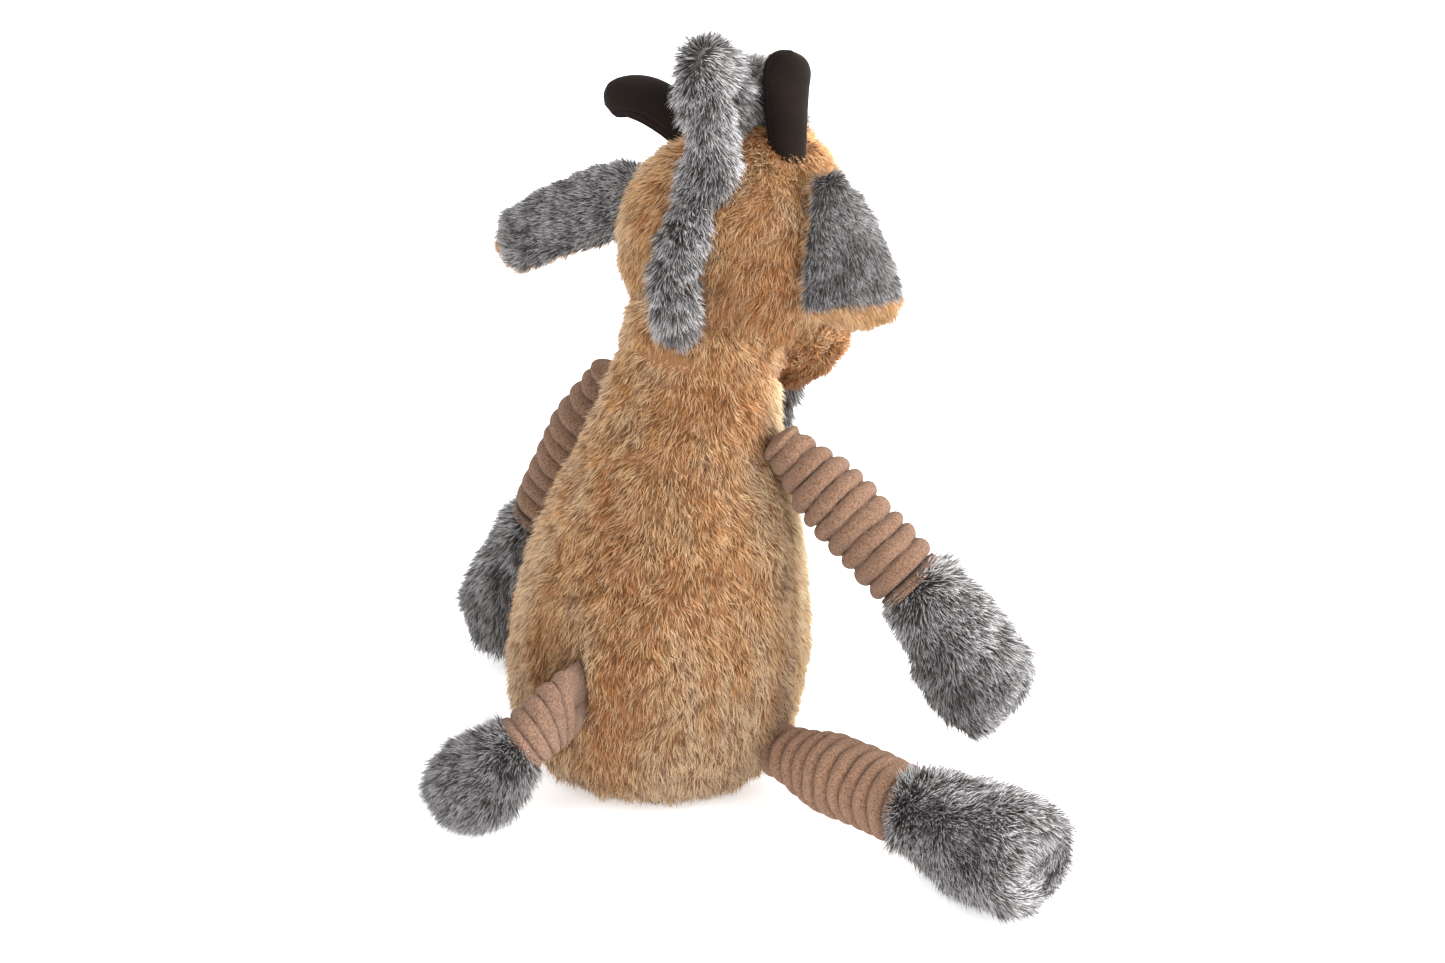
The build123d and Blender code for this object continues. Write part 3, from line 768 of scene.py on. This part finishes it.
for side_name, stations in HORNS.items():
    horn_grid = paddle_surface(stations, HORN_FACE, 90, 121)
    horn_grid += 0.0004 * ripple(horn_grid, 0.02, 71)[..., None] * HORN_FACE
    close_poles(horn_grid)
    points, faces = grid_faces(horn_grid)
    horn = new_piece(f"horn_{side_name}_suede", points, faces, horn_suede, "head")
    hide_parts(f"horn_{side_name}_cover", f"horn_{side_name}_stuffing")

# ---- Ears ----
# Two floppy ears, each of grey pile outside and golden plush inside, turned through and lightly filled. The
# golden lining rolls out past the grey at the end. The narrow root is sewn to the side of the head.
golden_lining = brown_dye(
    "golden_lining", (0.90, 0.62, 0.36), (0.78, 0.46, 0.20), (0.55, 0.28, 0.10), (0.36, 0.18, 0.07)
)
# direction, outer face, cup, length, shift of the root, slant of the end, where the grey stops and tone of
# each ear (painted shade: a high tone darkens the grey and turns the lining rust), and then half widths in
# millimetres at fractions of its length
EARS = {
    "left": (
        (0.79, 0.42, -0.42), (0.1, 0.62, 0.78), 0.003, 0.070, (-0.0035, 0, -0.0055), 0.0, 0.97, 0.15,
        [(0, 9), (0.1, 15), (0.3, 19), (0.6, 17.5), (0.8, 16), (0.92, 14.5), (1, 11)],
    ),
    "right": (
        (-0.31, 0.06, -0.94), (-1.0, 0.3, 0.3), 0.004, 0.063, (-0.0015, -0.0015, 0), 0.09, 0.83, 0.95,
        [(0, 4), (0.1, 7.5), (0.3, 14.5), (0.6, 21), (0.8, 23.5), (0.92, 23), (1, 19)],
    ),
}


def ear_surface(root, ahead, face, cup, length, slant, outline, rows, columns):
    """A flat closed pillow: oval rings along the ear, wide as its outline, that cup towards the head and
    close round the end. The slant makes one edge longer than the other."""
    across = np.cross(face, ahead)
    v = np.linspace(0, 1, rows)[:, None]
    outline = np.array(outline)
    half = spline(v[:, 0], outline[:, 0], outline[:, 1]) / 1000
    end = np.clip((v - 0.86) / 0.14, 0, 1)
    close = np.sqrt(np.maximum(1 - end**2.2, 0)) * np.sqrt(np.clip(v / 0.03, 0, 1))
    around = np.linspace(0, 2 * np.pi, columns)
    wide = half * close * np.cos(around)
    thick = 0.0042 * close**0.7 * fuller(np.sin(around))
    bend = -cup * (wide / 0.024) ** 2 + 0.004 * np.sin(v * np.pi) + 0 * around
    grid = root + (v * length * (1 + slant * wide / 0.022))[..., None] * ahead + wide[..., None] * across
    return grid + (thick + bend)[..., None] * face


for side_name, (ear_way, ear_face, cup, length, shift, slant, grey_end, ear_painted_shade, outline) in EARS.items():
    body = f"ear_{side_name}"
    root = joint_place("child", body)
    ear_way = unit(np.array(ear_way))
    ear_face = unit(np.array(ear_face) - ear_way * (ear_way @ ear_face))
    ear_grid = ear_surface(root + shift, ear_way, ear_face, cup, length, slant, outline, 70, 81)
    points, faces = grid_faces(ear_grid)
    ear = new_piece(f"{body}_pillow", points, faces, grey_backing, body)
    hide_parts(f"{body}_outer", f"{body}_lining")
    place, normal, down, row, column = scatter(ear_grid, 28000, 75)
    tone = np.clip(ear_painted_shade + 0.12 * ripple(place, 0.02, 76), 0, 1)
    flow = comb(normal, down + 0.15 * DOWN)
    outside = (np.sin(column * 2 * np.pi) > -0.15) & (row < grey_end)
    pile(f"{body}_grey_pile", place[outside], normal[outside], flow[outside], grey_pile, body,
         0.0062, 0.0006, 0.42, tone[outside], 77)
    inside = ~outside & (np.arange(len(place)) % 5 < 4)
    pile(f"{body}_lining_pile", place[inside], normal[inside], flow[inside], golden_lining, body,
         0.0066, 0.0006, 0.5, tone[inside], 78)

# ---- Arms and legs ----
# Sleeves of jumbo corduroy with the ribs running round, filled so that each rib stands up, with a plain hem.
# Each hem holds a stuffed hoof of the grey pile, closed by an end panel of the same.


def corduroy(name, pale, middle, deep):
    """Chenille corduroy: a pebbly nap with pale speckles, and painted shade that darkens the grooves between
    the ribs.
    """
    finish = Finish(name, roughness=0.9, sheen=0.12, specular=0.2)
    pebble = finish.noise(1150.0, 3.0, 0.7)
    speck = finish.noise(2200.0, 2.0)
    cloud = finish.noise(60.0, 3.0)
    colour = finish.mix(finish.ramp(pebble, [(0.42, BLACK), (0.56, WHITE)]), middle, pale)
    colour = finish.mix(cloud * 0.35, colour, deep)
    speckle = finish.ramp(speck, [(0.60, BLACK), (0.70, WHITE)])
    colour = finish.mix(speckle * 0.55, colour, tuple(min(1.0, 1.25 * c) for c in pale))
    # painted shade: the grooves between the ribs and the hem's creases are darkened to the deep colour
    finish.set("Base Color", finish.mix(finish.attribute("groove"), colour, deep))
    finish.bump(pebble * 0.7 + speck * 0.3, 0.0025)
    return finish


arm_cord = corduroy("arm_corduroy", (0.38, 0.212, 0.128), (0.20, 0.105, 0.059), (0.045, 0.022, 0.012))
# painted light: the legs get a paler copy of the arms' corduroy, standing in for the light that falls on them
leg_cord_painted_light = corduroy("leg_corduroy_painted_light", (0.50, 0.285, 0.178), (0.27, 0.145, 0.084), (0.060, 0.030, 0.017))
tail_cord = corduroy("tail_corduroy", (0.43, 0.25, 0.163), (0.22, 0.122, 0.075), (0.060, 0.030, 0.018))


def ribs(distance, pitch):
    """Round-topped ribs: 1 along each crown and 0 in each groove."""
    across = 2 * (distance / pitch % 1) - 1
    return np.sqrt(np.maximum(1 - across**2, 0)) ** 0.9


# distance from the shoulder or hip and radius of each kind of sleeve, where its ribs end and how many it has,
# then the same for its hem, all in millimetres
SLEEVES = {
    "arm": (
        [(-15, 0), (-13.5, 6), (-8, 9.8), (0, 11.7), (8, 14), (16, 15.8), (40, 16.2), (58, 16.4), (64, 16)],
        64.0, 8,
    ),
    "leg": (
        [(-17, 0), (-15.5, 7), (-9, 11.6), (0, 13.6), (8, 15.4), (16, 17), (40, 17.4), (56, 17.2),
         (61, 16.8)],
        61.0, 8,
    ),
}
SLEEVE_ENDS = {
    "arm": [
        (64.4, 14.6), (66.6, 15.0), (66.9, 14.4), (67.2, 15.0), (69.0, 15.1), (69.4, 14.2), (66.8, 12),
        (62.6, 7.4), (60.6, 0),
    ],
    "leg": [
        (61.4, 15.6), (63.6, 15.9), (63.9, 15.3), (64.2, 15.9), (66.0, 16.0), (66.4, 15.2), (62.8, 12.6),
        (58.0, 7.4), (56.0, 0),
    ],
}
# how far each drops for its length, and how far its hoof bends down for its own
SAG = {"arm": 0.035, "leg": 0.0}
BEND = {"arm": 0.28, "leg": 0.02}
# distance from the wrist or ankle and radius of each kind of hoof, in millimetres
HOOVES = {
    "arm": [
        (-13.9, 0), (-13, 4.8), (-9.8, 9.4), (-4, 12.6), (2, 15), (8, 17), (18, 19.4), (30, 20.2), (39, 19),
        (44.5, 15.5), (46.6, 8.5), (47, 0),
    ],
    "leg": [
        (-15.8, 0), (-14.6, 6), (-10.5, 11), (-4, 14), (3, 15.8), (12, 18.2), (28, 21), (44, 22), (53, 20.8),
        (58, 17), (60, 9.5), (60.4, 0),
    ],
}
CORE_LOWEST = 0.0012
# the joints at the two ends of each limb, and how its ribs' wander is turned about it
LIMBS = {
    "right_arm": ("right_shoulder", "right_wrist", 1.0),
    "left_arm": ("left_shoulder", "left_wrist", 1.4),
    "right_leg": ("right_hip", "right_ankle", 0.6),
    "left_leg": ("left_hip", "left_ankle", 2.2),
}


def sleeve_surface(start, axis, kind, turn, rows_per_rib, columns):
    """The sleeve's profile carried round the limb, with ribs raised on it that wander a little, then the
    plain hem, turned in to the hollow that holds the hoof."""
    outline, rib_end, rib_count = SLEEVES[kind]
    outline = np.array(outline) / 1000
    rib_end = rib_end / 1000
    pitch = rib_end / rib_count
    first = outline[0, 0]
    distance = first + (rib_end - first) * np.linspace(0, 1, rows_per_rib * (rib_count + 1))
    distance = distance[:, None] + np.zeros(columns)
    radius = np.maximum(spline(distance[:, 0], outline[:, 0], outline[:, 1]), 0)
    around = np.linspace(0, 2 * np.pi, columns)
    side, up = cap_basis(axis)
    spoke = np.cos(around)[:, None] * side + np.sin(around)[:, None] * up
    probe = start + distance[..., None] * axis + 0.015 * spoke
    wander = 0.0009 * np.sin(around + turn) + 0.0007 * ripple(probe, 0.03, 81)
    crown = ribs(distance - rib_end + wander * rise(rib_end - distance, 0, 0.006), pitch)
    opening = rise(radius, 0.006, 0.012)
    depth = 0.0042 * opening
    lumps = 1 + 0.018 * ripple(probe, 0.016, 82)
    ribbed = (radius - depth * (1 - crown)) * lumps
    # painted shade: 1 at the bottom of each groove, where it is darkened
    groove = np.clip(1 - crown / 0.55, 0, 1) * opening
    end = np.array(SLEEVE_ENDS[kind]) / 1000
    grid = start + distance[..., None] * axis + ribbed[..., None] * spoke
    hem = start + end[:, :1, None] * axis + end[:, 1:, None] * spoke
    # painted shade: the crease where the hem meets the ribs and the stitch line of the hem are darkened
    hem_groove_shade = np.zeros((len(end), columns))
    hem_groove_shade[0] = 0.8
    hem_groove_shade[2] = 0.7
    grid = np.concatenate([grid, hem])
    sag = SAG[kind] * np.maximum((grid - start) @ axis, 0)
    return grid + sag[..., None] * DOWN, np.concatenate([groove, hem_groove_shade])


def on_points(values):
    """Values on a grid, in the order of the points that grid_faces gives."""
    return np.concatenate([values[:1, 0], values[1:-1, :-1].ravel(), values[-1:, 0]])


for limb_name, (root_joint, end_joint, turn) in LIMBS.items():
    kind = limb_name.split("_")[1]
    cord = arm_cord if kind == "arm" else leg_cord_painted_light
    start = joint_place("name", root_joint)
    wrist = joint_place("name", end_joint)
    axis = unit(wrist - start)
    sleeve_grid, groove = sleeve_surface(start, axis, kind, turn, 14, 97)
    points, faces = grid_faces(sleeve_grid)
    values = {"groove": on_points(groove)}
    sleeve = new_piece(f"{limb_name}_ribbed_sleeve", points, faces, cord, limb_name, values)
    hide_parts(f"{limb_name}_sleeve", f"{limb_name}_stuffing")

    hoof = f"{limb_name}_hoof"
    outline = np.array(HOOVES[kind]) / 1000
    along = np.linspace(0, len(outline) - 1, 90)
    profile = np.maximum(spline(along, np.arange(len(outline)), outline), (-1, 0))
    hoof_grid = turned_surface(wrist, axis, profile, 81)
    beyond = np.maximum(profile[:, 0], 0)[:, None, None]
    hoof_grid = hoof_grid + (SAG[kind] * np.linalg.norm(wrist - start) + BEND[kind] * beyond) * DOWN
    swell = 0.0012 * ripple(hoof_grid, 0.045, 84) * rise(profile[:, 0], 0.002, 0.02)[:, None]
    hoof_grid = hoof_grid + swell[..., None] * unit(hoof_grid - wrist - 0.02 * axis)
    close_poles(hoof_grid)
    hoof_grid[..., 2] = np.maximum(hoof_grid[..., 2], CORE_LOWEST)
    points, faces = grid_faces(hoof_grid)
    core = new_piece(f"{hoof}_core", points, faces, grey_backing, hoof)
    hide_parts(f"{hoof}_cover", f"{hoof}_stuffing", f"{hoof}_sole")
    place, normal, down, _, _ = scatter(hoof_grid, 24000 if kind == "arm" else 36000, 85)
    ahead = (place - wrist) @ axis
    keep = ahead > -0.0075
    place, normal, down, ahead = place[keep], normal[keep], down[keep], ahead[keep, None]
    lift = 0.42 + 0.55 * rise(-ahead, -0.004, 0.005)
    tone = np.clip(0.4 + 0.15 * ripple(place, 0.02, 86), 0, 1)
    flow = comb(normal, down + 0.2 * DOWN)
    pile(f"{hoof}_pile", place, normal, flow, grey_pile, hoof,
         0.0085, 0.0008, lift, tone, 87)

# ---- Tail ----
# A short ribbed sleeve of paler corduroy, filled, and pinched flat into the back seam so that its ribs fan
# out from there. Its end holds a round stuffed tuft of the grey pile.
TAIL_ROOT = joint_place("name", "tail_swing")
TAIL_TIP = joint_place("name", "tail_tuft_bend")
TAIL_AXIS = unit(TAIL_TIP - TAIL_ROOT)
TAIL_RIBS = 5


def tail_surface(rows, columns):
    """Oval rings from an upright slot in the back seam to a round end square to the tail. The planes of the
    rings turn as they go, and ribs are raised on them. The first ring is carried into the seam."""
    length = np.linalg.norm(TAIL_TIP - TAIL_ROOT) - 0.003
    side, up = cap_basis(TAIL_AXIS)
    v = np.linspace(0, 1, rows)[:, None]
    turned = rise(v, 0, 0.9)
    around = np.linspace(0, 2 * np.pi, columns)
    wide_way = unit((1 - turned) * np.array((1.0, -0.2, 0.0)) + turned * side)[:, None]
    high_way = unit((1 - turned) * np.array((0.0, 0.1, 1.0)) + turned * up)[:, None]
    wide = 0.0050 + 0.0078 * rise(v, -0.1, 0.9)
    high = 0.0185 - 0.0058 * rise(v, 0, 0.8)
    crown = ribs(v + 0.02 * np.sin(around), 1 / TAIL_RIBS)
    size = 1 - 0.20 * (1 - crown)
    ring = (wide * np.cos(around) * size)[..., None] * wide_way
    ring = ring + (high * np.sin(around) * size)[..., None] * high_way
    grid = TAIL_ROOT + (v * length)[..., None] * TAIL_AXIS + ring
    # painted shade: 1 at the bottom of each groove, where it is darkened
    groove = np.clip(1 - crown / 0.5, 0, 1)
    root = grid[:1] - np.array((0.0, 0.010, 0.0))
    first = root.mean(1, keepdims=True) + np.zeros_like(root)
    last = grid[-1:].mean(1, keepdims=True) - 0.006 * TAIL_AXIS + np.zeros_like(root)
    none = np.zeros((1, columns))
    return np.concatenate([first, root, grid, last]), np.concatenate([none, none, groove, none])


tail_grid, groove = tail_surface(90, 97)
points, faces = grid_faces(tail_grid)
values = {"groove": on_points(groove)}
tail = new_piece("tail_ribbed_sleeve", points, faces, tail_cord, "tail", values)
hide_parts("tail_sleeve", "tail_stuffing")

# distance from the sleeve's end and radius of the tuft
TUFT = np.array([
    (-10.6, 0), (-9.5, 4.6), (-6, 8), (0, 10.5), (7, 13), (16, 15.2), (24, 14.6), (30.5, 11), (33.5, 6),
    (34.4, 0),
]) / 1000
profile = np.maximum(spline(np.linspace(0, 9, 80), np.arange(10), TUFT), (-1, 0))
tuft_grid = turned_surface(TAIL_TIP + 0.001 * DOWN, TAIL_AXIS, profile, 81)
tuft_grid[..., 2] = np.maximum(tuft_grid[..., 2], CORE_LOWEST)
points, faces = grid_faces(tuft_grid)
tuft = new_piece("tail_tuft_core", points, faces, grey_backing, "tail_tuft")
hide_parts("tail_tuft_cover", "tail_tuft_stuffing")
place, normal, down, _, _ = scatter(tuft_grid, 22000, 91)
ahead = (place - TAIL_TIP) @ TAIL_AXIS
keep = ahead > -0.005
place, normal, down, ahead = place[keep], normal[keep], down[keep], ahead[keep, None]
lift = 0.55 + 0.45 * rise(-ahead, -0.004, 0.005)
# painted shade: the tuft's high tone darkens its grey
tone = np.clip(0.7 + 0.15 * ripple(place, 0.02, 92), 0, 1)
flow = comb(normal, down + 0.2 * DOWN)
pile("tail_tuft_pile", place, normal, flow, grey_pile, "tail_tuft",
     0.009, 0.0008, lift, tone, 93)
